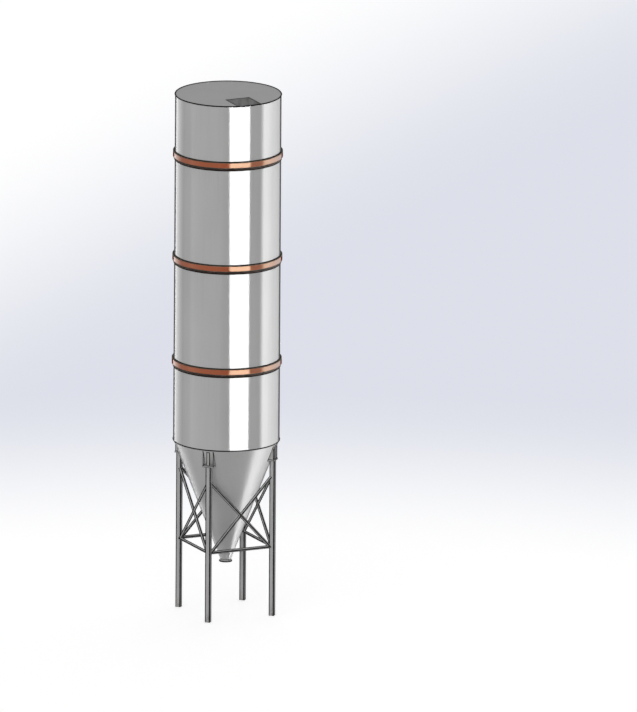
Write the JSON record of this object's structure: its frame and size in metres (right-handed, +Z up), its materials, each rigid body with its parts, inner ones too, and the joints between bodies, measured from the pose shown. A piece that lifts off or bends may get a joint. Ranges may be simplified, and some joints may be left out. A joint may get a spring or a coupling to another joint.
{
  "type": "storage silo",
  "caption": "Free-standing cylindrical steel storage silo with stiffening hoops, a flat roof with an open hatch, and a conical hopper on braced square legs.",
  "frame": {"origin": "on the ground at the centre of the four legs, under the silo's axis", "axes": "+Z up along the silo's axis; X and Y parallel to the sides of the square of legs; the roof hatch lies towards -Y, the front"},
  "size_m": [3.1, 3.1, 15],
  "materials": {
    "shell_paint": "gloss light grey paint",
    "hoop_paint": "satin copper-brown paint",
    "frame_paint": "satin mid grey paint"
  },
  "bodies": {
    "root": {"shell_course_1": "shell_paint", "shell_course_2": "shell_paint", "shell_course_3": "shell_paint", "shell_course_4": "shell_paint", "roof_plate": "shell_paint", "hopper_cone": "shell_paint", "hoop_lower": "hoop_paint", "hoop_middle": "hoop_paint", "hoop_upper": "hoop_paint", "outlet_flange": "frame_paint", "leg_front_left": "frame_paint", "leg_front_right": "frame_paint", "leg_back_left": "frame_paint", "leg_back_right": "frame_paint", "bracket_front_left_seat": "frame_paint", "bracket_front_left_rib_1": "frame_paint", "bracket_front_left_rib_2": "frame_paint", "bracket_front_left_rib_3": "frame_paint", "bracket_front_right_seat": "frame_paint", "bracket_front_right_rib_1": "frame_paint", "bracket_front_right_rib_2": "frame_paint", "bracket_front_right_rib_3": "frame_paint", "bracket_back_left_seat": "frame_paint", "bracket_back_left_rib_1": "frame_paint", "bracket_back_left_rib_2": "frame_paint", "bracket_back_left_rib_3": "frame_paint", "bracket_back_right_seat": "frame_paint", "bracket_back_right_rib_1": "frame_paint", "bracket_back_right_rib_2": "frame_paint", "bracket_back_right_rib_3": "frame_paint", "tie_front": "frame_paint", "tie_back": "frame_paint", "tie_left": "frame_paint", "tie_right": "frame_paint", "brace_front_through": "frame_paint", "brace_front_lower": "frame_paint", "brace_front_upper": "frame_paint", "brace_back_through": "frame_paint", "brace_back_lower": "frame_paint", "brace_back_upper": "frame_paint", "brace_left_through": "frame_paint", "brace_left_lower": "frame_paint", "brace_left_upper": "frame_paint", "brace_right_through": "frame_paint", "brace_right_lower": "frame_paint", "brace_right_upper": "frame_paint"}
  },
  "joints": []
}
